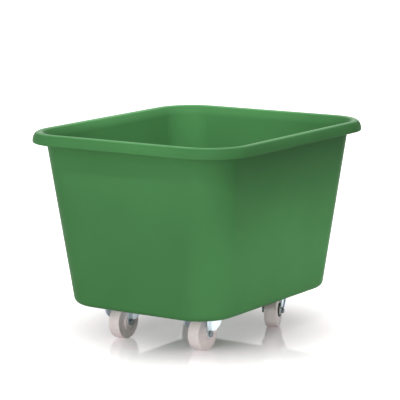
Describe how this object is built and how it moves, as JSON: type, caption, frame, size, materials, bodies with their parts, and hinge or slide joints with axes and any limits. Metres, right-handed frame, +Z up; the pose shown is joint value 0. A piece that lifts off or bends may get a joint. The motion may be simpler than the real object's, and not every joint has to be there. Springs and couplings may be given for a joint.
{
  "type": "container truck",
  "caption": "Open tapered plastic tub with a turned-over rim on two fixed and two swivel castors, for carrying loose goods in shops and laundries.",
  "frame": {"origin": "on the ground under the middle of the tub, where the wheels stand at Z = 0", "axes": "+X along the long side towards the swivel castors, +Y to the left side, +Z up"},
  "size_m": [0.835, 0.7178, 0.612],
  "materials": {
    "tub_plastic": "rotationally moulded polyethylene, satin with a fine orange-peel",
    "wheel_nylon": "natural nylon, satin",
    "fixed_cap_plastic": "natural nylon, satin",
    "swivel_cap_plastic": "dark grey plastic, satin",
    "zinc_plated_sheet": "bright zinc plate",
    "zinc_plated_fasteners": "zinc plate",
    "bearing_steel": "ground steel"
  },
  "bodies": {
    "tub_frame": {"fixed_left_axle_bolt": "zinc_plated_fasteners", "fixed_left_axle_nut": "zinc_plated_fasteners", "fixed_left_axle_sleeve": "bearing_steel", "fixed_left_bracket": "zinc_plated_sheet", "fixed_left_mounting_bolts": "zinc_plated_fasteners", "fixed_left_mounting_nuts": "zinc_plated_fasteners", "fixed_left_mounting_washers": "zinc_plated_fasteners", "fixed_right_axle_bolt": "zinc_plated_fasteners", "fixed_right_axle_nut": "zinc_plated_fasteners", "fixed_right_axle_sleeve": "bearing_steel", "fixed_right_bracket": "zinc_plated_sheet", "fixed_right_mounting_bolts": "zinc_plated_fasteners", "fixed_right_mounting_nuts": "zinc_plated_fasteners", "fixed_right_mounting_washers": "zinc_plated_fasteners", "swivel_left_king_pin": "zinc_plated_fasteners", "swivel_left_lower_race": "zinc_plated_sheet", "swivel_left_mounting_bolts": "zinc_plated_fasteners", "swivel_left_mounting_nuts": "zinc_plated_fasteners", "swivel_left_mounting_washers": "zinc_plated_fasteners", "swivel_left_top_plate": "zinc_plated_sheet", "swivel_right_king_pin": "zinc_plated_fasteners", "swivel_right_lower_race": "zinc_plated_sheet", "swivel_right_mounting_bolts": "zinc_plated_fasteners", "swivel_right_mounting_nuts": "zinc_plated_fasteners", "swivel_right_mounting_washers": "zinc_plated_fasteners", "swivel_right_top_plate": "zinc_plated_sheet", "tub": "tub_plastic"},
    "fixed_left_wheel_body": {"fixed_left_bearing_caps": "fixed_cap_plastic", "fixed_left_wheel": "wheel_nylon"},
    "fixed_right_wheel_body": {"fixed_right_bearing_caps": "fixed_cap_plastic", "fixed_right_wheel": "wheel_nylon"},
    "swivel_left_fork_body": {"swivel_left_axle_bolt": "zinc_plated_fasteners", "swivel_left_axle_nut": "zinc_plated_fasteners", "swivel_left_axle_sleeve": "bearing_steel", "swivel_left_fork": "zinc_plated_sheet", "swivel_left_lower_balls": "bearing_steel", "swivel_left_upper_balls": "bearing_steel"},
    "swivel_left_wheel_body": {"swivel_left_bearing_caps": "swivel_cap_plastic", "swivel_left_wheel": "wheel_nylon"},
    "swivel_right_fork_body": {"swivel_right_axle_bolt": "zinc_plated_fasteners", "swivel_right_axle_nut": "zinc_plated_fasteners", "swivel_right_axle_sleeve": "bearing_steel", "swivel_right_fork": "zinc_plated_sheet", "swivel_right_lower_balls": "bearing_steel", "swivel_right_upper_balls": "bearing_steel"},
    "swivel_right_wheel_body": {"swivel_right_bearing_caps": "swivel_cap_plastic", "swivel_right_wheel": "wheel_nylon"}
  },
  "joints": [
    {"name": "fixed_left_wheel_spin", "type": "hinge", "parent": "tub_frame", "child": "fixed_left_wheel_body", "pos_m": [-0.1975, 0.138, 0.05], "axis": [0, 1, 0], "continuous": true},
    {"name": "fixed_right_wheel_spin", "type": "hinge", "parent": "tub_frame", "child": "fixed_right_wheel_body", "pos_m": [-0.1975, -0.138, 0.05], "axis": [0, 1, 0], "continuous": true},
    {"name": "swivel_left_swivel", "type": "hinge", "parent": "tub_frame", "child": "swivel_left_fork_body", "pos_m": [0.1975, 0.138, 0.119], "axis": [0, 0, 1], "continuous": true},
    {"name": "swivel_left_wheel_spin", "type": "hinge", "parent": "swivel_left_fork_body", "child": "swivel_left_wheel_body", "pos_m": [0.15712, 0.13088, 0.05], "axis": [-0.1736, 0.9848, 0], "continuous": true},
    {"name": "swivel_right_swivel", "type": "hinge", "parent": "tub_frame", "child": "swivel_right_fork_body", "pos_m": [0.1975, -0.138, 0.119], "axis": [0, 0, 1], "continuous": true},
    {"name": "swivel_right_wheel_spin", "type": "hinge", "parent": "swivel_right_fork_body", "child": "swivel_right_wheel_body", "pos_m": [0.1591, -0.15236, 0.05], "axis": [-0.3502, 0.9367, 0], "continuous": true}
  ]
}
